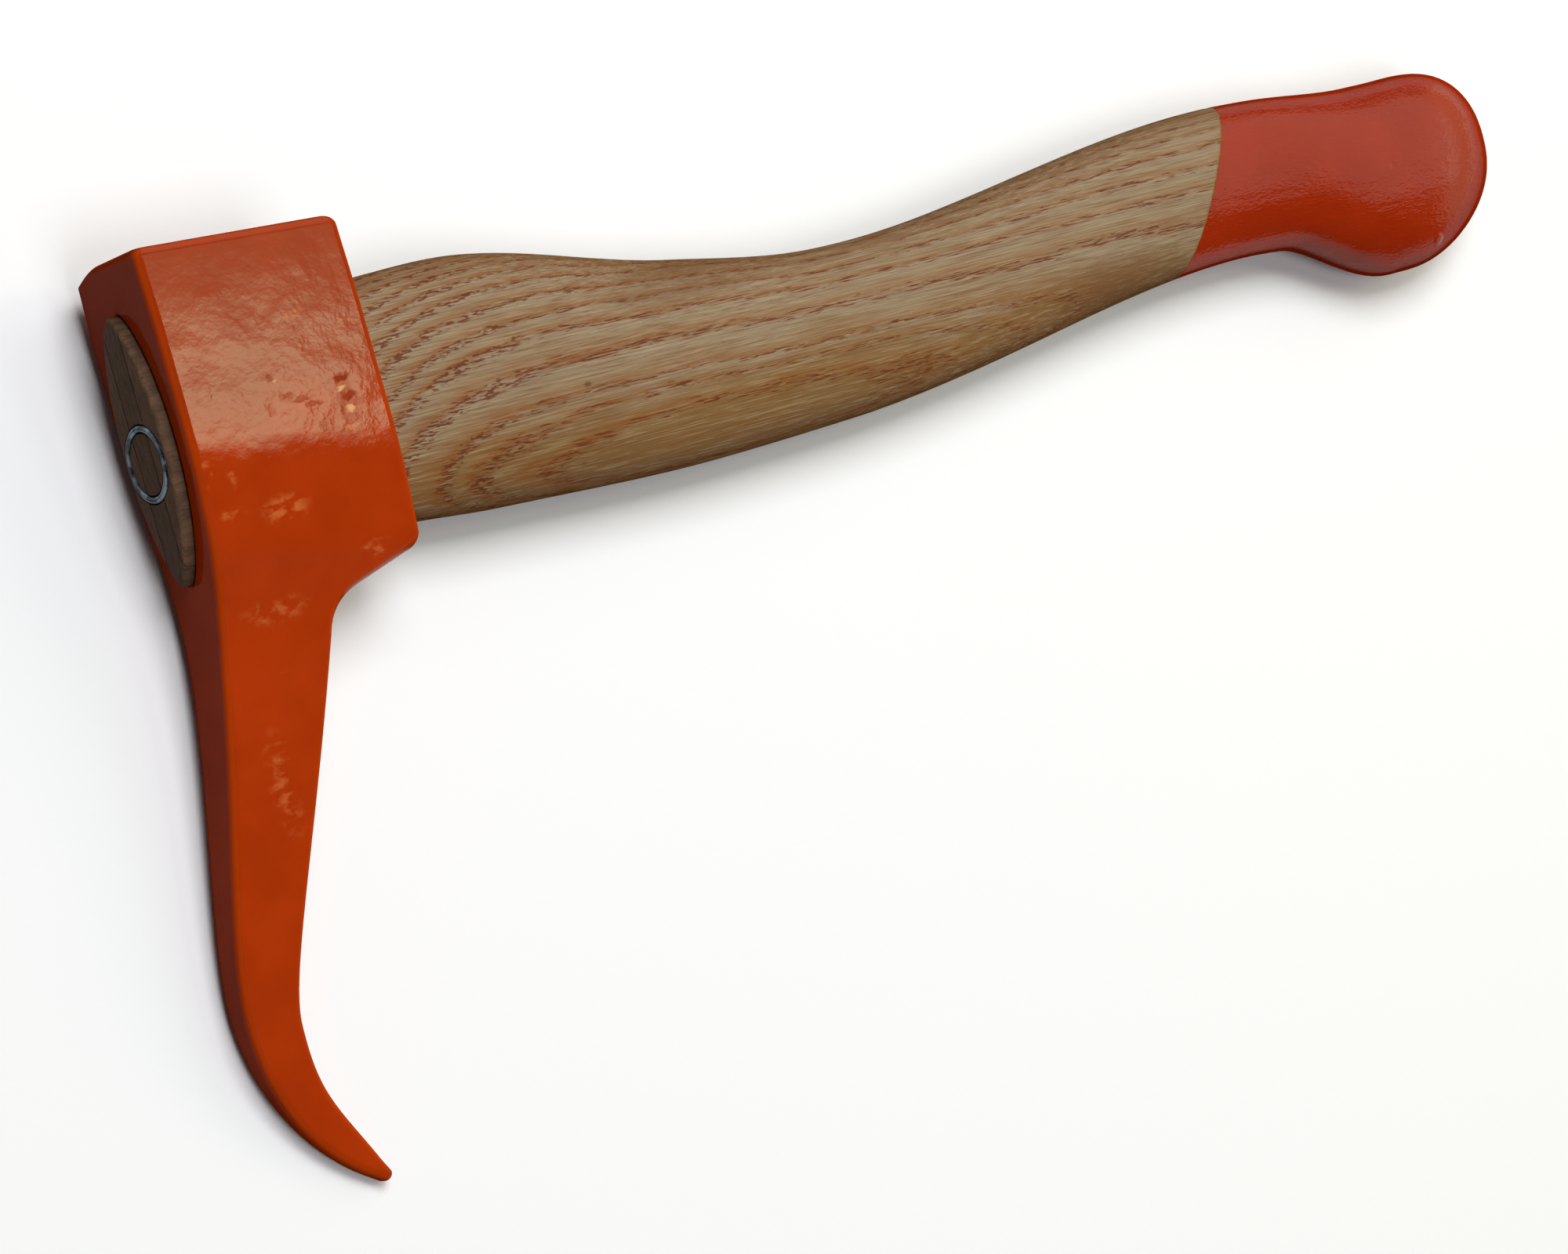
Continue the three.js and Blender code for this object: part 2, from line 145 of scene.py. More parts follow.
def handle_section(x, share=1.0):
    """The handle's outline at one place, or a share of it where the knob closes."""
    half_height = along_curve(handle_heights, x) * share / 2
    half_width = along_curve(handle_widths, x) * share / 2
    square = 2 / dome_power
    middle = along_curve(handle_middles, x)
    return oval(x, middle, half_height, half_height, half_width, square, square, square)


def tongue_sections():
    """The tongue: a worn end, then straight through the eye to the shoulder."""
    rounding = [share * math.pi / 2 for share in shares(4)]
    worn = [
        eye_section(worn_edge * (1 - math.cos(t)), tongue_gap + worn_edge * (1 - math.sin(t)))
        for t in rounding
    ]
    straight = (head_front, tongue_middle, shoulder_at)
    return worn + [eye_section(x, tongue_gap) for x in straight]


def grip_sections():
    """The handle behind the head, and the dome that closes the knob."""
    length = [handle_section(shoulder_at + (dome_at - shoulder_at) * s) for s in shares(150)]
    dome = []
    for share in shares(24)[1:-1] + [dome_end]:
        out = math.sin(share * math.pi / 2)
        drawn_in = (1 - out**dome_power) ** (1 / dome_power)
        dome.append(handle_section(dome_at + dome_length * out, drawn_in))
    return length + dome


# The kerf is sawn down the tongue before the head goes on, and the ring wedge later cuts
# its own round groove: both are cut with 0.3 mm to spare on each side
wedge_thickness = 6.0
wedge_edge = 1.4
wedge_length = 33.0
wedge_reach = 40
ring_radius = 8.0
ring_wall = 1.5
ring_length = 17.0
ring_proud = 0.3
ring_back_outer = ring_radius - 0.6
ring_back_inner = ring_radius - 1.3

# How far a cutter reaches past what it cuts
past_end = 3.0


def wedge_shape(gap, relief):
    """The wedge's taper, far wider than the eye, thicker by a gap and longer by a relief."""
    bm = bmesh.new()
    bmesh.ops.create_cube(bm, size=2)
    for vert in bm.verts:
        x = -past_end if vert.co.x < 0 else wedge_length + relief
        thick = wedge_thickness - (wedge_thickness - wedge_edge) * x / wedge_length
        vert.co = Vector((x, vert.co.y * wedge_reach, vert.co.z * (thick / 2 + gap)))
    return bm


def ring_shape(gap, front):
    """The ring wedge's tapered tube, thicker by a gap, from a place over the wood."""
    bm = bmesh.new()
    back = ring_length - ring_proud + gap
    profile = [(front, ring_radius - ring_wall - gap), (front, ring_radius + gap)]
    profile += [(back, ring_back_outer + gap), (back, ring_back_inner - gap)]
    verts = [bm.verts.new((x, radius, 0)) for x, radius in profile]
    edges = [bm.edges.new((a, b)) for a, b in zip(verts, verts[1:] + verts[:1])]
    bmesh.ops.spin(
        bm,
        geom=verts + edges,
        axis=(1, 0, 0),
        angle=math.tau,
        steps=steps_around,
        use_merge=True,
    )
    bm.normal_update()
    bmesh.ops.recalc_face_normals(bm, faces=bm.faces)
    return bm


def carve(body, tool, operation="DIFFERENCE"):
    """The body cut by a tool, or what the two have in common."""
    pair = []
    for bm in (body, tool):
        mesh = bpy.data.meshes.new("carving")
        bm.to_mesh(mesh)
        bm.free()
        pair.append(bpy.data.objects.new("carving", mesh))
        bpy.context.scene.collection.objects.link(pair[-1])
    modifier = pair[0].modifiers.new("carve", "BOOLEAN")
    modifier.object = pair[1]
    modifier.operation = operation
    modifier.solver = "EXACT"
    carved = bmesh.new()
    carved.from_object(pair[0], bpy.context.evaluated_depsgraph_get())
    for obj in pair:
        bpy.data.objects.remove(obj)
    return carved


def lying_axes():
    """From the tool's own axes in millimetres to the frame's in metres.

    X runs from the end of the tongue to the knob, Y from the spike up to the poll and Z
    out of the near cheek, whose flat tells how the tool lies.
    """
    cheek = next(m for m in frame["record"]["mounts"] if m["name"] == "near_cheek")
    out = Vector(cheek["axis"]).normalized()
    along = Vector((0, 1, 0)).cross(out).normalized()
    turned = Matrix((along, out.cross(along), out)).transposed()
    on_cheek = Vector((head_front + head_length / 2, cheek_height, cheek_out)) / 1000
    origin = Vector(cheek["pos_m"]) - turned @ on_cheek
    return Matrix.Translation(origin) @ turned.to_4x4()


lying = lying_axes()
sharp_angle = 40


def keep(bm, name, slot, *materials):
    """A finished piece, laid down in the frame's metres and riding on the tool."""
    bm.transform(lying @ Matrix.Scale(0.001, 4))
    mesh = bpy.data.meshes.new(name)
    bm.to_mesh(mesh)
    bm.free()
    mesh.polygons.foreach_set("use_smooth", [True] * len(mesh.polygons))
    mesh.set_sharp_from_angle(angle=math.radians(sharp_angle))
    for material in materials:
        mesh.materials.append(material)
    piece = bpy.data.objects.new(name, mesh)
    bpy.context.scene.collection.objects.link(piece)
    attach(piece, "root")
    return piece


def srgb(code):
    """The linear colour of a six-figure sRGB hex value."""
    parts = [int(code[i : i + 2], 16) / 255 for i in (0, 2, 4)]
    return (*Color(parts).from_srgb_to_scene_linear(), 1.0)


def add(tree, kind, *values, out=None, **named):
    """One more node and what comes out of it.

    The values go to the sockets in use, in order. A name in small letters is a setting and
    any other name is a socket, and a value that comes out of a node makes a link.
    """
    node = tree.nodes.new("ShaderNode" + kind)
    for name, value in named.items():
        if name.islower():
            setattr(node, name, value)
    given = list(zip([socket for socket in node.inputs if socket.enabled], values))
    given += [(node.inputs[name], named[name]) for name in named if not name.islower()]
    for socket, value in given:
        if isinstance(value, bpy.types.NodeSocket):
            tree.links.new(value, socket)
        else:
            socket.default_value = value
    return node.outputs[out] if out else next(s for s in node.outputs if s.enabled)


# What the smooth ranges and the mixes of two colours are set to
smooth = {"interpolation_type": "SMOOTHSTEP"}
rgba = {"data_type": "RGBA"}


def new_material(name):
    """A material with its node tree and its shader."""
    material = bpy.data.materials.new(name)
    material.use_nodes = True
    tree = material.node_tree
    return material, tree, tree.nodes["Principled BSDF"]


def tool_millimetres(tree):
    """Object coordinates turned back to the tool's own axes, in millimetres."""
    unlaid = lying.inverted()
    place = add(tree, "TexCoord", out="Object")
    return add(
        tree, "Mapping", place, unlaid.translation * 1000, unlaid.to_euler(), (1000, 1000, 1000)
    )


def cloudy(tree, place, size, detail=2.0, roughness=0.5):
    """Cloudy noise about 0.5, whose features have a size in millimetres along each axis."""
    scaled = add(tree, "VectorMath", place, size, operation="DIVIDE")
    return add(tree, "TexNoise", scaled, 1.0, detail, roughness)


# Widths of the year rings where they cross the near side, from the pale sapwood down, the
# way that the rings lean, and how they dive toward the head: where, how fast and how deep
ring_widths = [2.4] * 11 + [2.8, 3.0, 2.6, 3.2, 3.8, 1.5, 1.8, 2.4] + [2.3] * 5
first_ring = -28.6
ring_tilt = (0.0, -0.5, 0.87)
dive_at = 50
dive_fade = 16
dive_most = 2.0
dive_depth = 5.5

# The rings' slow waves and their ragged edges: size each way, swing and roughness
ring_waves = [((40, 12, 12), 2.4, 0.5), ((5, 0.5, 0.5), 1.8, 0.6)]


def year_rings(tree, place):
    """How many rings deep a place is."""
    along = add(tree, "SeparateXYZ", place, out="X")
    dive = add(tree, "Math", along, -1 / dive_fade, dive_at / dive_fade, operation="MULTIPLY_ADD")
    dive = add(tree, "Math", dive, operation="EXPONENT")
    dive = add(tree, "Math", dive, dive_most, operation="MINIMUM")
    depth = add(tree, "VectorMath", place, ring_tilt, operation="DOT_PRODUCT")
    depth = add(tree, "Math", dive, -dive_depth, depth, operation="MULTIPLY_ADD")
    for size, swing, roughness in ring_waves:
        wave = cloudy(tree, place, size, 2.0, roughness)
        depth = add(tree, "Math", depth, swing / 2, operation="SUBTRACT")
        depth = add(tree, "Math", wave, swing, depth, operation="MULTIPLY_ADD")
    span = sum(ring_widths)
    share = add(tree, "MapRange", depth, first_ring, first_ring + span)
    curve = add(tree, "FloatCurve", 1.0, share).node
    points = curve.mapping.curves[0].points
    for count in range(1, len(ring_widths)):
        points.new(sum(ring_widths[:count]) / span, count / len(ring_widths))
    for point in points:
        point.handle_type = "VECTOR"
    curve.mapping.update()
    return add(tree, "Math", curve.outputs[0], len(ring_widths), operation="MULTIPLY")


def dulled_at_edges(tree, gloss, start=0.25, end=0.65):
    """A gloss that falls away where the surface turns from the eye."""
    facing = add(tree, "LayerWeight", 0.5, out="Facing")
    return add(tree, "MapRange", facing, start, end, gloss, 0.0, **smooth)


def turned_to(tree, axis):
    """How far the surface is turned to one of the tool's axes, either way: 0 to 1, squared."""
    normal = add(tree, "NewGeometry", out="Normal")
    towards = lying.to_3x3().col[axis]
    turned = add(tree, "VectorMath", normal, towards, operation="DOT_PRODUCT")
    return add(tree, "Math", turned, 2.0, operation="POWER")


def patch(tree, place, middle, reach):
    """One in the middle of a mark, and nothing beyond its reach."""
    off = add(tree, "VectorMath", place, middle, operation="SUBTRACT")
    off = add(tree, "VectorMath", off, reach, operation="DIVIDE")
    far = add(tree, "VectorMath", off, operation="LENGTH")
    return add(tree, "MapRange", far, 1.0, 0.3, **smooth)


# Two pin knots, and two stretches of painted shade: middle, reach each way
pin_knots = [((100.8, 13.6, 9.4), (1.3, 0.8, 1.2)), ((98.1, -6.2, 11.2), (1.3, 0.8, 1.2))]
painted_shade_stretches = [
    ((247.0, -13.0, 8.0), (30.0, 8.0, 12.0)),
    ((132.0, 11.0, 8.0), (34.0, 7.0, 12.0)),
]

# How long, high and deep the wood's marks are, and how deep a pore is cut, in millimetres.
# Real fibres and pores are finer than 0.3 mm across, so these are drawn as coarse as they
# need to show.
cloud_size = (30, 7, 7)
fibre_size = (16, 0.35, 0.35)
streak_size = (9, 0.3, 0.3)
short_pore = (2.0, 0.4, 0.4)
long_pore = (6.0, 0.3, 0.3)
pore_depth = 0.02
ash = {
    "pale": "907C62",
    "low": "805F36",
    "late wood": "8E683A",
    # Painted shade on the flanks turned up and down
    "shaded flank": "72502F",
    "dark fibre": "744C2C",
    "pale fibre": "AC9A7A",
    "ring": "844A1C",
    "pore": "642C0E",
    "painted shade stretch": "6A4424",
    "knot": "4A2812",
    "beside the dip": "7A6424",
}


# Ash is ring-porous: each year starts with a row of open brown pores, seen lengthwise as
# short dashes, and ends in denser wood that darkens to the next row. Oil on the sanded
# face gives it a soft grey sheen under a broad light.
def oiled_ash():
    material, tree, shader = new_material("oiled_ash")
    place = tool_millimetres(tree)
    axes = add(tree, "SeparateXYZ", place).node.outputs
    clouds = cloudy(tree, place, cloud_size, 2.0)
    fibres = cloudy(tree, place, fibre_size, 3.0, 0.7)

    # How far through its year's growth a place is, from the early wood to the late
    year = add(tree, "Math", year_rings(tree, place), operation="FRACT")
    late = add(tree, "MapRange", year, 0.3, 1.0)
    late = add(tree, "Math", late, 3.2, operation="POWER")
    early = add(tree, "MapRange", year, 0.25, 0.0, **smooth)

    # The early wood's pores show as long dashes along the grip, and as a wider row of short
    # ones beside the head, where the saw cut across the rings
    near_head = add(tree, "MapRange", axes["X"], 100.0, 70.0, **smooth)
    short = cloudy(tree, place, short_pore, 1.0)
    long = cloudy(tree, place, long_pore, 1.0)
    dashes = add(tree, "Mix", near_head, long, short)
    open_share = add(tree, "Math", near_head, 0.3, 0.2, operation="MULTIPLY_ADD")
    dashes = add(tree, "MapRange", dashes, 0.48, 0.58, **smooth)
    pores = add(tree, "Math", year, open_share, operation="DIVIDE")
    pores = add(tree, "MapRange", pores, 1.0, 0.6, **smooth)
    pores = add(tree, "Math", dashes, pores, operation="MULTIPLY")

    # Each ring's brown line is streaky, and fades along the grip
    streaks = cloudy(tree, place, streak_size, 2.0, 0.6)
    streaks = add(tree, "MapRange", streaks, 0.36, 0.6, 0.25, 1.0, **smooth)
    fading = add(tree, "MapRange", axes["X"], 200.0, 90.0, 0.55, 1.0, **smooth)
    brown = add(tree, "Math", late, early, operation="MAXIMUM")
    brown = add(tree, "Math", brown, streaks, operation="MULTIPLY")
    brown = add(tree, "Math", brown, fading, operation="MULTIPLY")

    # Over pale grey, partly painted sheen, browner low down, lie the other tints, each by its
    # share
    low = add(tree, "Math", clouds, 16.0, axes["Y"], operation="MULTIPLY_ADD")
    low = add(tree, "MapRange", low, 4.0, -10.0, **smooth)
    colour = add(tree, "Mix", low, srgb(ash["pale"]), srgb(ash["low"]), **rgba)
    layers = [
        (add(tree, "MapRange", year, 0.2, 0.95, 0.0, 0.4, **smooth), "late wood"),
        # Painted shade: the flanks turned up and down are drawn darker, where less light falls
        (add(tree, "MapRange", turned_to(tree, 1), 0.04, 0.55, 0.0, 0.6, **smooth), "shaded flank"),
        (add(tree, "MapRange", fibres, 0.5, 0.66, 0.0, 0.7, **smooth), "dark fibre"),
        (add(tree, "MapRange", fibres, 0.5, 0.34, 0.0, 0.5, **smooth), "pale fibre"),
        (add(tree, "Math", brown, 0.9, operation="MULTIPLY"), "ring"),
        (add(tree, "Math", pores, 0.9, operation="MULTIPLY"), "pore"),
    ]
    patchy = add(tree, "MapRange", clouds, 0.3, 0.6, 0.3, 0.6, **smooth)
    # Painted shade in two stretches where the handle turns from the light
    for middle, reach in painted_shade_stretches:
        stretch = patch(tree, place, middle, reach)
        stretch = add(tree, "Math", stretch, patchy, operation="MULTIPLY")
        layers.append((stretch, "painted shade stretch"))
    for middle, reach in pin_knots:
        knot = patch(tree, place, middle, reach)
        layers.append((add(tree, "Math", knot, 0.6, operation="MULTIPLY"), "knot"))
    off = add(tree, "VectorMath", place, dip_place, operation="SUBTRACT")
    off = add(tree, "VectorMath", off, dip_normal, operation="DOT_PRODUCT")
    soaked = add(tree, "MapRange", off, -0.7, -0.1, **smooth)
    layers.append((add(tree, "Math", soaked, 0.7, operation="MULTIPLY"), "beside the dip"))
    for share, tint in layers:
        colour = add(tree, "Mix", share, colour, srgb(ash[tint]), **rgba)

    # Sanding leaves the fibres slightly raised and the pores open
    relief = add(tree, "Math", fibres, 0.35, operation="MULTIPLY")
    relief = add(tree, "Math", pores, -1.0, relief, operation="MULTIPLY_ADD")
    roughness = add(tree, "MapRange", fibres, 0.2, 0.8, 0.45, 0.6, **smooth)
    bump = add(tree, "Bump", Height=relief, Strength=1.0, Distance=pore_depth / 1000)
    tree.links.new(colour, shader.inputs["Base Color"])
    tree.links.new(bump, shader.inputs["Normal"])
    tree.links.new(roughness, shader.inputs["Roughness"])
    tree.links.new(dulled_at_edges(tree, 0.15), shader.inputs["Specular IOR Level"])
    return material


# End grain's open pores, its streaks and how deep they are torn, in millimetres, and the
# dirt in the pores
end_pore = (3, 0.35, 0.35)
end_streak = (5, 3.5, 0.7)
end_depth = 0.04
end_pore_shade = "3A2A1E"


# End grain drinks the oil and the dirt, so it is dull and dark, dotted with open pores
def end_grain(name, wood, dark):
    material, tree, shader = new_material(name)
    place = tool_millimetres(tree)
    pores = add(tree, "MapRange", cloudy(tree, place, end_pore, 2.0), 0.45, 0.7, **smooth)
    pores = add(tree, "Math", pores, 0.5, operation="MULTIPLY")
    streaks = add(tree, "MapRange", cloudy(tree, place, end_streak, 3.0), 0.35, 0.65, **smooth)
    colour = add(tree, "Mix", streaks, srgb(wood), srgb(dark), **rgba)
    colour = add(tree, "Mix", pores, colour, srgb(end_pore_shade), **rgba)
    bump = add(tree, "Bump", Height=streaks, Strength=1.0, Distance=end_depth / 1000)
    tree.links.new(colour, shader.inputs["Base Color"])
    tree.links.new(bump, shader.inputs["Normal"])
    shader.inputs["Roughness"].default_value = 0.75
    shader.inputs["Specular IOR Level"].default_value = 0.15
    return material


# The wood under the paint gives way to the film, and the tongue shows its end grain
handle_bm = bar(tongue_sections() + grip_sections(), steps_around)
film_bm = handle_bm.copy()
for vert in handle_bm.verts:
    if (vert.co - dip_place).dot(dip_normal) > 0:
        vert.co -= vert.normal * film_thickness
handle_bm = carve(handle_bm, wedge_shape(tongue_gap, past_end))
handle_bm = carve(handle_bm, ring_shape(tongue_gap, -past_end))
for face in handle_bm.faces:
    face.material_index = int(face.calc_center_median().x < shoulder_at - tongue_gap)
sawn_end = end_grain("ash_end_grain", "6C503C", "574030")
handle = keep(handle_bm, "ash_handle", "ash_wood", oiled_ash(), sawn_end)
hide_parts("handle")

# The wooden wedge is a flat hardwood wedge driven along the eye into the kerf. It is
# trimmed with the end of the tongue, and the ring wedge is driven in across it.
tongue_bm = bar(tongue_sections(), steps_around)
wooden_wedge_bm = carve(wedge_shape(0, 0), tongue_bm, "INTERSECT")
wooden_wedge_bm = carve(wooden_wedge_bm, ring_shape(tongue_gap, -past_end))

# Its end grain is darker than the ash's, because it soaked up more oil
wedge_end = end_grain("wedge_end_grain", "5E4634", "4C3728")
wooden_wedge = keep(wooden_wedge_bm, "wooden_wedge_in_kerf", "wedge_wood", wedge_end)
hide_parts("wooden_wedge")

# The ring wedge is a short tapered steel tube, zinc plated, hammered into the end of the
# tongue across the wooden wedge. Its rims are rounded, and the hammer left scuffs.
ring_rim = 0.6
scuff_size = (3, 3, 3)
scuff_depth = 0.05


# Zinc plate is a bright metal that dulls soon. Scuffed by the hammer, it reflects in soft
# bluish patches a few millimetres wide.
def zinc_plate():
    material, tree, shader = new_material("zinc_plated_steel")
    place = tool_millimetres(tree)
    scuffs = cloudy(tree, place, scuff_size, 2.0)
    bright = add(tree, "MapRange", scuffs, 0.4, 0.62, **smooth)
    colour = add(tree, "Mix", bright, srgb("30383E"), srgb("6E7B83"), **rgba)
    roughness = add(tree, "MapRange", scuffs, 0.3, 0.7, 0.22, 0.45, **smooth)
    bump = add(tree, "Bump", Height=scuffs, Strength=1.0, Distance=scuff_depth / 1000)
    tree.links.new(colour, shader.inputs["Base Color"])
    tree.links.new(bump, shader.inputs["Normal"])
    tree.links.new(roughness, shader.inputs["Roughness"])
    shader.inputs["Metallic"].default_value = 1.0
    return material


ring_bm = ring_shape(0, -ring_proud)
rims = [e for e in ring_bm.edges if all(v.co.x < 0 for v in e.verts)]
bmesh.ops.bevel(
    ring_bm,
    geom=rims,
    offset=ring_rim,
    segments=4,
    profile=0.5,
    affect="EDGES",
    material=-1,
)
ring_wedge = keep(ring_bm, "zinc_ring_wedge", "zinc_steel", zinc_plate())
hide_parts("ring_wedge")

# The head is one steel forging: the block round the eye, the neck, the shank and the
# hooked spike, ground on the poll's far edge and painted all over in orange enamel.

# The block: how high the poll is, its bevel, where the cheek is flat, and the heel
poll_height = 41.0
poll_slope = 1.5
poll_round = 2
poll_bevel_width = 9.9
poll_bevel_drop = 3.6
poll_bevel_edge = 0.6
cheek_flat = (2, 25)
heel_depth = 29.4
heel_round = 2.4
heel_roll = 5.0

# The neck: where it leaves the block, how far it runs and falls, and its hollow corner
neck_drop = 18.0
neck_run = 26.0
neck_fall = 6.4
neck_fillet = 6.5

# The spike: how far the shank leans, the bend's two edges, and the chisel-like point
shank_lean = math.radians(21)
bend_out = Vector((-14.0, -110.5))
bend_in = Vector((-2.0, -114.5))
point_run = 20.8
point_low = -149.3
point_thickness = 2.8
point_slant = math.radians(38)
point_round = 1.2
point_draw_in = 1.4

# How thick the head is at each height, from the spike's point up to the poll
head_widths = [(-149.3, 4.0), (-110.5, 8.7), (-52.0, 14.6), (-43.0, 15.9), (-10.0, 27.2)]
head_widths += [(2.0, 29.2), (25.0, 29.2), (41.0, 27.6)]

# How far the long edges are rounded, in how many steps, and the most of a side that the
# rounding may take. The eye's mouth starts just in front of the face that it is cut in,
# and edges under the shortest one are dissolved after the cut.
block_edge = 1.8
spike_edge = 1.9
mouth_edge = 0.9
mouth_lead = 0.02
shortest_edge = 0.005
corner_steps = 6
corner_most = 0.9


def bezier(points, share):
    """A place on the curve that the points pull."""
    while len(points) > 1:
        points = [a.lerp(b, share) for a, b in zip(points, points[1:])]
    return points[0]


def head_section(front, back, edge, inset=0.0, back_edge=None):
    """A rounded rectangle from the front edge of the side view to its back edge."""
    along = (back - front).normalized()
    half_depth = (back - front).length / 2
    half_width = along_curve(head_widths, front.y) / 2
    edge = min(edge, corner_most * (half_depth - inset), corner_most * (half_width - inset))

    def point(share):
        step = round(share * 4 * (corner_steps + 1))
        corner, step = divmod(step, corner_steps + 1)
        turn = (corner + step / corner_steps) * math.pi / 2
        right = 1 if corner in (0, 3) else -1
        near = 1 if corner in (0, 1) else -1
        rolled = back_edge if back_edge and right > 0 else edge
        core_depth = half_depth - inset - rolled
        core_width = half_width - inset - rolled
        place = (front + back) / 2 + along * (right * core_depth + rolled * math.cos(turn))
        return Vector((place.x, place.y, near * core_width + rolled * math.sin(turn)))

    return point


def block_sections():
    """The block round the eye, from the poll's rounded edge down to the neck and heel."""
    top = poll_height
    low = -neck_drop
    back_top = poll_height - poll_slope
    back_low = heel_round - heel_depth
    flat_low, flat_high = cheek_flat

    def across(y):
        back_y = back_top + (back_low - back_top) * (y - top) / (low - top)
        return Vector((head_front, y)), Vector((head_back, back_y))

    poll = []
    for share in shares(6):
        turn = share * math.pi / 2
        y = poll_height - poll_round * (1 - math.cos(turn))
        inset = poll_round * (1 - math.sin(turn))
        poll.append(head_section(*across(y), block_edge, inset))
    heights = [flat_high] + [flat_low + (low - flat_low) * share for share in shares(16)]
    return poll + [head_section(*across(y), block_edge) for y in heights]


def spike_sections():
    """The neck, shank and hook. The shares in it place the curves' middle points."""
    neck_top = Vector((head_front, -neck_drop))
    front = [
        neck_top,
        Vector((head_front, -neck_drop + 0.35 * (neck_drop + bend_out.y))),
        Vector((bend_out.x, -neck_drop + 0.795 * (neck_drop + bend_out.y))),
        bend_out,
    ]
    heel = Vector((head_back, -heel_depth))
    neck_corner = Vector((head_front + neck_run, -heel_depth - neck_fall))
    to_neck = (neck_corner - heel).normalized()
    lean = Vector((-math.sin(shank_lean), -math.cos(shank_lean)))
    heel_top = heel + Vector((0, heel_round))
    heel_end = heel + to_neck * heel_round
    fillet_start = neck_corner - to_neck * neck_fillet
    root = neck_corner + lean * neck_fillet
    reach = (bend_in - root).length
    shank = [
        root,
        root + lean * 0.52 * reach,
        Vector((bend_in.x, root.y + 0.86 * (bend_in.y - root.y))),
        bend_in,
    ]
    point_out = Vector((bend_out.x + point_run, point_low))
    across = Vector((math.cos(point_slant), math.sin(point_slant)))
    point_in = point_out + across * point_thickness
    outside = [
        bend_out,
        Vector((bend_out.x, bend_out.y + 0.53 * (point_out.y - bend_out.y))),
        bend_out + Vector((0.53 * point_run, 0.85 * (point_out.y - bend_out.y))),
        point_out,
    ]
    inside = [
        bend_in,
        Vector((bend_in.x, bend_in.y + 0.45 * (point_in.y - bend_in.y))),
        bend_in + Vector((0.38 * (point_in.x - bend_in.x), 0.54 * (point_in.y - bend_in.y))),
        point_in,
    ]
    # Steps, the front edge and the part of it used, the back edge, and its corners' rounding
    stretches = [
        (5, front, 0, 0.07, [heel_top, heel, heel_end], (block_edge, heel_roll)),
        (6, front, 0.07, 0.16, [heel_end, fillet_start], (heel_roll, heel_roll)),
        (12, front, 0.16, 0.27, [fillet_start, neck_corner, root], (heel_roll, spike_edge)),
        (40, front, 0.27, 1, shank, None),
        (40, outside, 0, 1, inside, None),
    ]
    sections = []
    for steps, front_edge, start, end, back_edge, rolls in stretches:
        for share in shares(steps)[1:]:
            edge = bezier(front_edge, start + (end - start) * share)
            rolled = rolls and rolls[0] + (rolls[1] - rolls[0]) * share
            back = bezier(back_edge, share)
            sections.append(head_section(edge, back, spike_edge, back_edge=rolled))
    onward = Vector((across.y, -across.x))
    for share in shares(6)[1:-1]:
        turn = share * math.pi / 2
        shift = onward * point_round * math.sin(turn)
        inset = point_draw_in * (1 - math.cos(turn))
        sections.append(head_section(point_out + shift, point_in + shift, spike_edge, inset))
    return sections


# Chips in the near cheek's paint, the cream ones painted glints and the dark ones along the dent
# partly painted shade: middle, reach each way, how strong and what colour. Then the patches where
# it ran or wrinkled, whose pale flecks are partly painted highlight: middle, reach each way, how
# pale.
chips_and_glints = [
    ((39.4, 2.2, 14.6), (3.0, 7.5, 3), 0.35, "8E2C06"),
    ((39.4, 7.0, 14.6), (3.0, 1.2, 3), 0.9, "86280A"),
    ((39.0, 4.9, 14.6), (1.4, 0.9, 3), 0.85, "E0AC76"),
    ((40.2, 3.2, 14.6), (2.4, 1.2, 3), 0.8, "8A2A06"),
    ((39.6, 0.7, 14.6), (1.5, 1.0, 3), 0.85, "E0AC76"),
    ((38.8, -3.0, 14.6), (2.2, 0.9, 3), 0.35, "D9966A"),
    ((23.7, 10.2, 14.6), (0.9, 1.3, 3), 0.6, "8A2E0A"),
    ((24.6, 9.3, 14.6), (0.8, 0.8, 3), 0.5, "DFAE80"),
    ((22.2, 3.6, 14.6), (1.2, 1.6, 3), 0.3, "93330B"),
    ((32.9, -1.8, 14.6), (1.3, 2.0, 3), 0.4, "8A2C08"),
    ((26.5, 5.9, 14.6), (2.4, 0.9, 3), 0.6, "8E2E06"),
    ((29.3, 4.7, 14.6), (2.6, 0.8, 3), 0.6, "8E2E06"),
    ((32.2, 3.2, 14.6), (2.8, 0.7, 3), 0.6, "8E2E06"),
]
runs = [
    ((4.8, -3.5, 14.2), (1.4, 6.0, 4), 0.6),
    ((10.0, -6.0, 14.1), (1.2, 5.0, 4), 0.5),
    ((20.0, -15.5, 13.2), (7.0, 3.6, 5), 0.8),
    ((8.0, -14.0, 13.3), (4.5, 1.8, 4), 0.6),
    ((14.0, -34.5, 9.0), (10.0, 3.5, 6), 0.6),
    ((38.0, -27.6, 11.6), (5.0, 2.4, 4), 0.9),
    ((6.5, -68.0, 6.5), (4.0, 14.0, 6), 0.6),
    ((32.0, 21.7, 14.6), (4.5, 1.3, 3), 0.5),
    ((36.3, 18.4, 14.6), (2.4, 1.0, 3), 0.5),
    ((44.0, 17.9, 14.6), (2.0, 1.0, 3), 0.5),
    ((39.0, -1.5, 14.6), (3.6, 3.8, 3), 0.5),
]

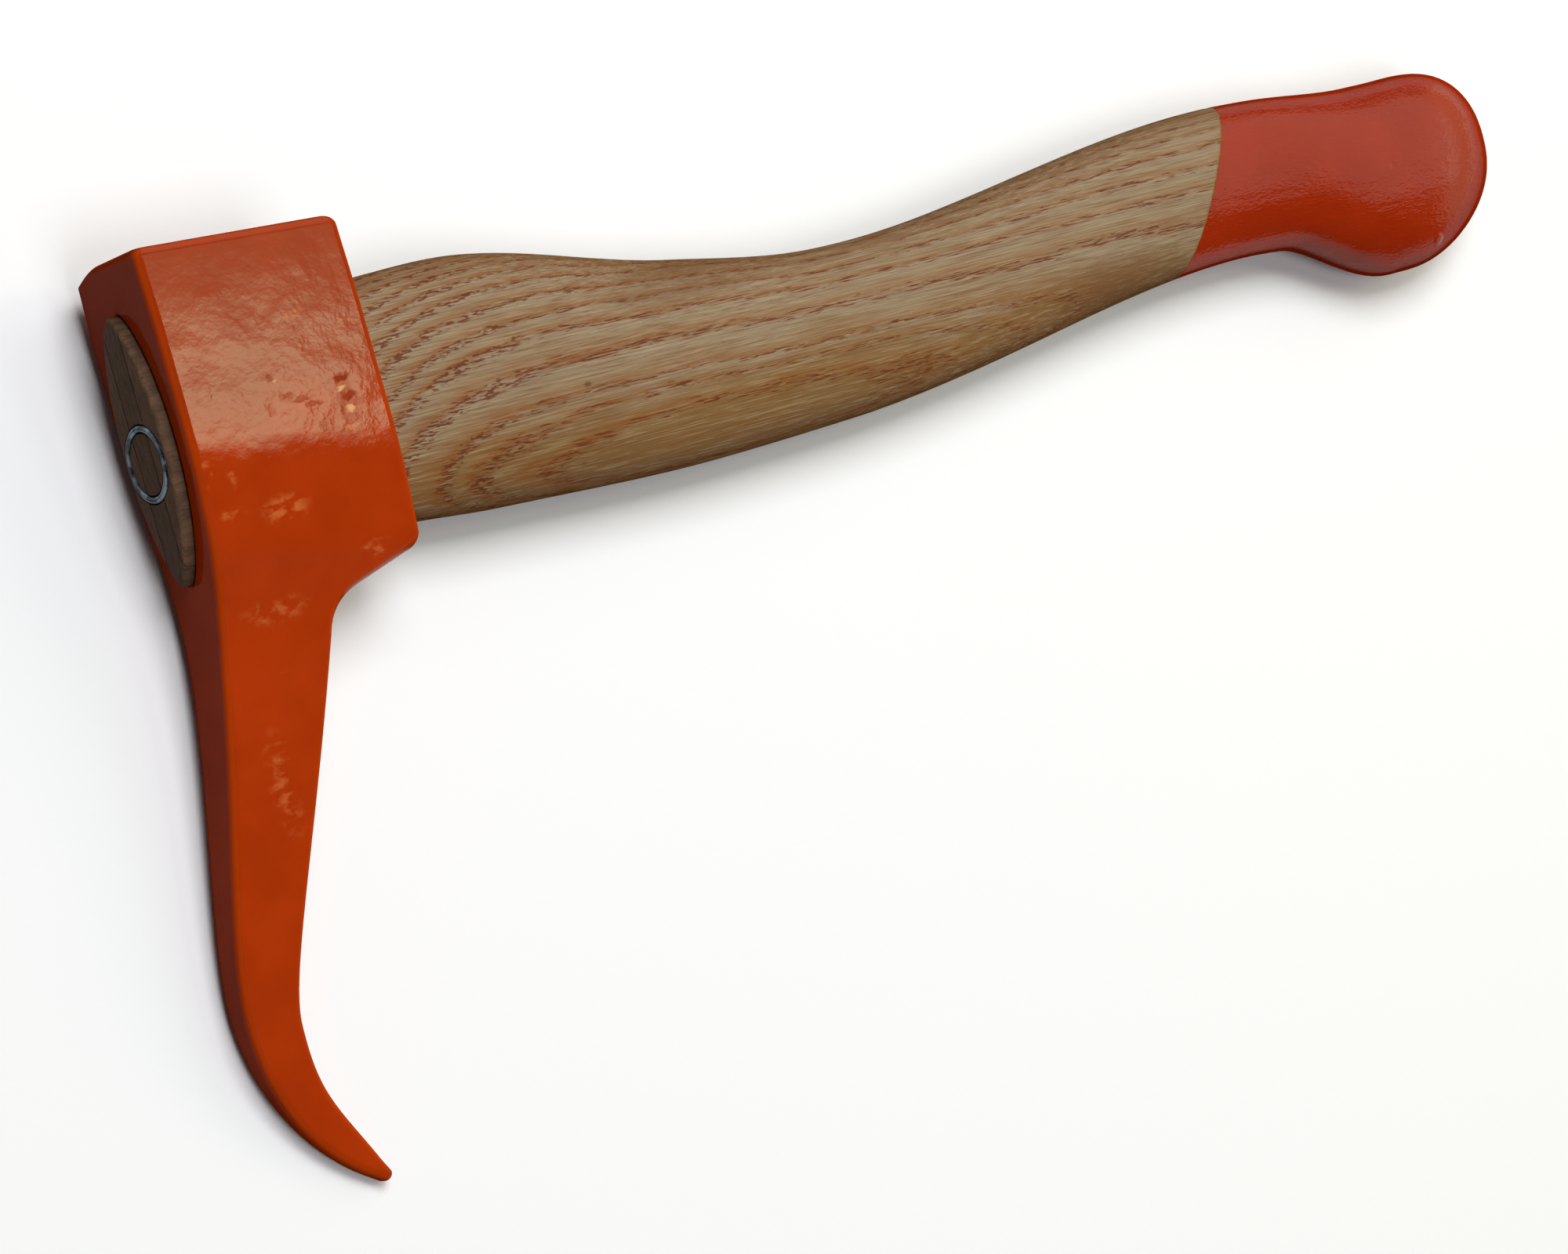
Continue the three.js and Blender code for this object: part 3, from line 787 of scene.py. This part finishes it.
# Beneath the heel the rolled edge stays glossy and mirrors the pale ground
under_heel = ((38.0, -32.0, 10.0), (13.0, 4.5, 7.0))

# The size of the pale flecks in the runs, and how far runs and chips rise and sink, as
# shares of the depth of the enamel's lumps
fleck_size = (3.6, 2.2, 3)
run_rise = 0.08
chip_depth = 0.2
# The poll's painted shade, the thin paint's colour on the edges, and the runs' flecks
poll_painted_shade = "8C2C06"
thin_shade = "C4480C"
fleck_paint_and_highlight = "C86A34"


def marks_on_head(tree, shader, place, height, colour, gloss):
    """The head's paint: painted shade at the poll, thin on the edges, chipped, runs, painted
    glints.
    """
    # Marks have uneven outlines: their places are shifted by up to 1.1 mm each way
    offset = add(tree, "TexNoise", place, 0.8, 4.0, out="Color")
    offset = add(tree, "VectorMath", offset, (0.5, 0.5, 0.5), operation="SUBTRACT")
    offset = add(tree, "VectorMath", offset, (2.2, 2.2, 0), operation="MULTIPLY")
    uneven = add(tree, "VectorMath", place, offset, operation="ADD")

    # Painted shade: the paint is drawn a darker red toward the poll, where it is less lit
    upper = add(tree, "SeparateXYZ", place, out="Y")
    upper = add(tree, "MapRange", upper, -2.0, 12.0, 0.0, 0.55, **smooth)
    colour = add(tree, "Mix", upper, colour, srgb(poll_painted_shade), **rgba)

    # The paint thins over the edges, and the sharp front edge mirrors nothing
    upright = turned_to(tree, 2)
    edge = add(tree, "Math", 1.0, upright, operation="SUBTRACT")
    edge = add(tree, "Math", upright, edge, operation="MULTIPLY")
    thinned = add(tree, "MapRange", edge, 0.08, 0.25, 0.0, 0.4, **smooth)
    colour = add(tree, "Mix", thinned, colour, srgb(thin_shade), **rgba)
    roughness = add(tree, "MapRange", edge, 0.02, 0.14, 0.1, 0.5, **smooth)
    tree.links.new(roughness, shader.inputs["Roughness"])
    sideways = turned_to(tree, 0)
    on_arris = add(tree, "MapRange", sideways, 0.0006, 0.005, 1.0, 0.06, **smooth)
    on_front = add(tree, "MapRange", sideways, 0.5, 0.95, 0.0, 0.3, **smooth)
    glossy = add(tree, "Math", on_arris, on_front, operation="MAXIMUM")
    gloss = add(tree, "Math", gloss, glossy, operation="MULTIPLY")
    rolled = add(tree, "MapRange", upright, 0.2, 0.8, 1.0, 0.0, **smooth)
    rolled = add(tree, "Math", patch(tree, place, *under_heel), rolled, operation="MULTIPLY")
    gloss = add(tree, "Math", gloss, rolled, operation="MAXIMUM")

    # Runs stand a little proud with pale flecks, partly painted highlight, and chips lie deeper
    # and duller
    flecks = cloudy(tree, place, fleck_size, 3.0, 0.55)
    flecks = add(tree, "MapRange", flecks, 0.45, 0.65, 0.0, 0.9, **smooth)
    for middle, reach, share in runs:
        run = patch(tree, uneven, middle, reach)
        run = add(tree, "Math", run, flecks, operation="MULTIPLY")
        height = add(tree, "Math", run, run_rise, height, operation="MULTIPLY_ADD")
        # The flecks' paler colour is partly painted highlight on the runs' wrinkles
        pale = add(tree, "Math", run, share, operation="MULTIPLY")
        colour = add(tree, "Mix", pale, colour, srgb(fleck_paint_and_highlight), **rgba)
    # Chips tint the paint; along the dent the tints are partly painted shade and painted glints
    for middle, reach, strength, tint in chips_and_glints:
        chip = patch(tree, uneven, middle, reach)
        depth = -chip_depth * strength
        height = add(tree, "Math", chip, depth, height, operation="MULTIPLY_ADD")
        tint_share = add(tree, "Math", chip, strength, operation="MULTIPLY")
        colour = add(tree, "Mix", tint_share, colour, srgb(tint), **rgba)
        left = add(tree, "MapRange", chip, 0.0, 1.0, 1.0, 1.0 - strength, **smooth)
        gloss = add(tree, "Math", gloss, left, operation="MULTIPLY")
    return height, colour, gloss


# The enamel's lumps: how deep they are in millimetres, how much longer and taller the slow
# swells are, and the size of the paint's own slow change of shade
lump_depth = 0.085
swell_size = 2.2
swell_height = 1.9
shade_size = (14, 14, 14)


# Stoved enamel is a thick glossy paint over the forging, so it shows the scaly steel as
# slow lumps of a few millimetres, has the faint dimples of sprayed paint, and thins to a
# brighter orange over the edges.
def orange_enamel(name, shades, lump, dimple, dimpled, dulled, add_marks):
    """Lumps and dimples have a size each way, and dulled is where the edges lose their gloss."""
    material, tree, shader = new_material(name)
    place = tool_millimetres(tree)
    swells = cloudy(tree, place, [swell_size * size for size in lump], 1.0)
    lumps = cloudy(tree, place, lump, 3.0, 0.5)
    lumps = add(tree, "Math", swells, swell_height, lumps, operation="MULTIPLY_ADD")
    dimples = cloudy(tree, place, dimple, 1.0)
    height = add(tree, "Math", dimples, dimpled, lumps, operation="MULTIPLY_ADD")
    shade = add(tree, "MapRange", cloudy(tree, place, shade_size, 3.0), 0.3, 0.7, **smooth)
    colour = add(tree, "Mix", shade, srgb(shades[0]), srgb(shades[1]), **rgba)
    gloss = dulled_at_edges(tree, 0.5, *dulled)
    height, colour, gloss = add_marks(tree, shader, place, height, colour, gloss)
    bump = add(tree, "Bump", Height=height, Strength=1.0, Distance=lump_depth / 1000)
    tree.links.new(bump, shader.inputs["Normal"])
    tree.links.new(colour, shader.inputs["Base Color"])
    tree.links.new(gloss, shader.inputs["Specular IOR Level"])
    shader.inputs["Roughness"].default_value = 0.12
    shader.inputs["IOR"].default_value = 1.35
    return material


enamel = orange_enamel(
    "orange_enamel",
    ("A23003", "AD3505"),
    (4, 4, 4),
    (1, 1, 1),
    0.05,
    (0.25, 0.65),
    marks_on_head,
)

# The poll's far edge is ground off, and the cut's own edges are softened
head_bm = bar(block_sections() + spike_sections(), 4 * (corner_steps + 1))
bevelled = bmesh.ops.bisect_plane(
    head_bm,
    geom=head_bm.verts[:] + head_bm.edges[:] + head_bm.faces[:],
    plane_co=(0, poll_height, poll_bevel_width - cheek_out),
    plane_no=(0, poll_bevel_width, -poll_bevel_drop),
    clear_outer=True,
)
cut_edges = [g for g in bevelled["geom_cut"] if isinstance(g, bmesh.types.BMEdge)]
bmesh.ops.edgeloop_fill(head_bm, edges=cut_edges)
bmesh.ops.bevel(
    head_bm,
    geom=cut_edges,
    offset=poll_bevel_edge,
    segments=4,
    profile=0.5,
    affect="EDGES",
    material=-1,
    clamp_overlap=True,
)

# The eye is punched through, its mouth rounded. Flat triangles keep the cut's edges clean.
eye = [eye_section(head_front - past_end, -mouth_edge)]
for share in shares(5):
    turn = (1 - share) * math.pi / 2
    depth = mouth_edge * (1 - math.sin(turn)) - mouth_lead
    eye.append(eye_section(head_front + depth, -mouth_edge * (1 - math.cos(turn))))
eye.append(eye_section(head_back + past_end, 0))
eye_bm = bar(eye, steps_around)
bmesh.ops.triangulate(eye_bm, faces=eye_bm.faces[:])
head_bm = carve(head_bm, eye_bm)
bmesh.ops.dissolve_degenerate(head_bm, dist=shortest_edge, edges=head_bm.edges[:])
head = keep(head_bm, "forged_head", "orange_enamel", enamel)

# Weighted normals keep the ground faces flat beside their rounded edges
flats = head.modifiers.new("flats_stay_flat", "WEIGHTED_NORMAL")
flats.keep_sharp = True
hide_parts("head")

# The grip end is dipped in the head's enamel: a film about a tenth of a millimetre thick
# over the wood, whose slanting edge shows how the handle hung in the tank.
film_clearance = 0.02

# The paint on the knob dried with a small crater and a small nub: middle, reach each way,
# rise
crater = ((337.6, -2.3, 11.7), (1.4, 1.2, 3), -1.0)
nub = ((349.7, -22.1, 7.7), (2.0, 1.8, 3), 3.0)


def marks_on_knob(tree, shader, place, height, colour, gloss):
    """The crater and the nub, which have the paint's own colour and gloss."""
    for middle, reach, rise in (crater, nub):
        spot = patch(tree, place, middle, reach)
        height = add(tree, "Math", spot, rise, height, operation="MULTIPLY_ADD")
    return height, colour, gloss


bmesh.ops.bisect_plane(
    film_bm,
    geom=film_bm.verts[:] + film_bm.edges[:] + film_bm.faces[:],
    plane_co=dip_place,
    plane_no=dip_normal,
    clear_inner=True,
)
film_bm.normal_update()
bmesh.ops.solidify(film_bm, geom=film_bm.faces[:], thickness=film_thickness - film_clearance)

# Dipped enamel sags along the wood before it dries, so its lumps are long and narrow, and
# the open grain under it shows as fine dimples that break up its gloss
dipped = orange_enamel(
    "dipped_orange_enamel",
    ("922403", "9A2805"),
    (7, 1.8, 1.8),
    (1.4, 0.5, 0.5),
    0.9,
    (0.3, 0.7),
    marks_on_knob,
)
keep(film_bm, "dipped_grip_paint", "orange_enamel", dipped)

# The floor is a pale matt board that turns up into a low wall far behind the tool. It
# bounces little light back up, as the dark ground under the photographed tool did, but
# looks pale itself, also in gloss.
board_radius = 9.5
board_steps = 96
wall_height = 2.2
unlit_from = 0.4
unlit_beyond = 1.2
bounced_shade = "A0A0A0"
seen_shade = "F8F8F8"
far_shade = "FBFBFA"


# Near the tool the board is lit and takes its shadow. Far from it no lamp reaches the
# board, and it is drawn as bright as it is beside the tool.
def pale_board():
    material, tree, shader = new_material("pale_board")
    seen = add(tree, "LightPath").node.outputs
    rays = add(tree, "Math", seen["Is Camera Ray"], seen["Is Glossy Ray"], operation="ADD")
    rays = add(tree, "Math", rays, seen["Is Transmission Ray"], operation="ADD")
    rays = add(tree, "Math", rays, 1.0, operation="MINIMUM")
    colour = add(tree, "Mix", rays, srgb(bounced_shade), srgb(seen_shade), **rgba)
    tree.links.new(colour, shader.inputs["Base Color"])
    shader.inputs["Roughness"].default_value = 1.0
    shader.inputs["Specular IOR Level"].default_value = 0.0
    away = add(tree, "VectorMath", add(tree, "TexCoord", out="Object"), operation="LENGTH")
    unlit = add(tree, "MapRange", away, unlit_from, unlit_beyond, **smooth)
    unlit = add(tree, "Math", rays, unlit, operation="MULTIPLY")
    glow = add(tree, "Emission", srgb(far_shade), 1.0)
    board = add(tree, "MixShader", unlit, shader.outputs[0], glow)
    tree.links.new(board, tree.nodes["Material Output"].inputs["Surface"])
    return material


floor_bm = bmesh.new()
bmesh.ops.create_circle(floor_bm, cap_ends=True, segments=board_steps, radius=board_radius)
raised = bmesh.ops.extrude_edge_only(floor_bm, edges=floor_bm.edges[:])["geom"]
raised = [vert for vert in raised if isinstance(vert, bmesh.types.BMVert)]
bmesh.ops.translate(floor_bm, verts=raised, vec=(0, 0, wall_height))
floor_mesh = bpy.data.meshes.new("studio_floor")
floor_bm.to_mesh(floor_mesh)
floor_bm.free()
floor_mesh.materials.append(pale_board())
floor = bpy.data.objects.new("studio_floor", floor_mesh)
bpy.context.scene.collection.objects.link(floor)

# The studio's light is soft: two panels overhead, a warm one low at the grip's side, a pale
# sky beyond the knob that the paint mirrors, and a window that the near cheek mirrors.
window_tint = "E4F4C6"
window_rise = 0.29
window_fall = 0.35
window_fall_power = 6.0


def soft_panel(name, place, aim, size, light, tint):
    """A soft panel facing a point, as bright in itself at any size."""
    lamp = bpy.data.lights.new(name, "AREA")
    lamp.shape = "RECTANGLE"
    lamp.size = size[0]
    lamp.size_y = size[1]
    lamp.energy = light * math.pi * size[0] * size[1]
    lamp.color = srgb(tint)[:3]
    obj = bpy.data.objects.new(name, lamp)
    back = (Vector(place) - Vector(aim)).normalized()
    right = Vector((1, 0, 0))
    up = back.cross(right).normalized()
    right = up.cross(back)
    obj.matrix_world = Matrix.Translation(place) @ Matrix((right, up, back)).transposed().to_4x4()
    bpy.context.scene.collection.objects.link(obj)
    return lamp


soft_panel("far_overhead_panel", (-0.1, 0.98, 1.9), (-0.1, 0.98, 0), (1.2, 1.3), 7.2, "FAFBFF")
soft_panel("near_overhead_panel", (-0.3, -0.8, 1.9), (-0.3, -0.8, 0), (1.0, 0.9), 4.6, "FAFBFF")
soft_panel("side_panel", (2.7, 0.2, 0.9), (0.0, 0.0, 0), (1.1, 3.0), 1.4, "FFDDB8")
soft_panel("sky_panel", (2.0, 1.05, 1.5), (2.0, 1.05, 0), (2.0, 2.9), 1.3, "FFFAEC")
soft_panel("near_sky_panel", (0.72, 0.3, 1.5), (0.72, 0.3, 0), (0.4, 0.62), 1.3, window_tint)
window = soft_panel(
    "window_panel",
    (0.635, 0.155, 1.49),
    (0.635, 0.155, 0),
    (0.27, 0.69),
    8.2,
    window_tint,
)

# The window's light fades to its two long edges, so the cheek mirrors it without a hard line
window.use_nodes = True
glass = window.node_tree
across = add(glass, "NewGeometry", out="Parametric")
across = add(glass, "SeparateXYZ", across, out="Y")
rise = add(glass, "MapRange", across, 0.0, window_rise)
fall = add(glass, "MapRange", across, 1.0, window_fall)
fall = add(glass, "Math", fall, window_fall_power, operation="POWER")
glow = add(glass, "Math", rise, fall, operation="MINIMUM")
glass.links.new(glow, glass.nodes["Emission"].inputs["Strength"])

# A dim white surround fills the shadows
world = bpy.data.worlds.new("studio")
world.use_nodes = True
world.node_tree.nodes["Background"].inputs["Color"].default_value = srgb("FFFFFF")
world.node_tree.nodes["Background"].inputs["Strength"].default_value = 0.05
bpy.context.scene.world = world

# The camera stands over the head's front and looks along the tool, as the photograph does.
# Its place and turn are in the tool's own axes, so they are laid down with the tool.
camera_place = Vector((-397.2, -39.9, 762.0)) / 1000
picture_right = Vector((0.7842, -0.268, 0.5597))
looks_along = Vector((0.5741, -0.0289, -0.8182))
camera_data = bpy.data.cameras.new("camera")
camera_data.sensor_width = 36
camera_data.lens = 99
camera = bpy.data.objects.new("camera", camera_data)
picture_up = picture_right.cross(looks_along)
turned = Matrix((picture_right, picture_up, -looks_along)).transposed().to_4x4()
camera.matrix_world = lying @ Matrix.Translation(camera_place) @ turned
bpy.context.scene.collection.objects.link(camera)
bpy.context.scene.camera = camera

bpy.context.scene.view_settings.view_transform = "Standard"
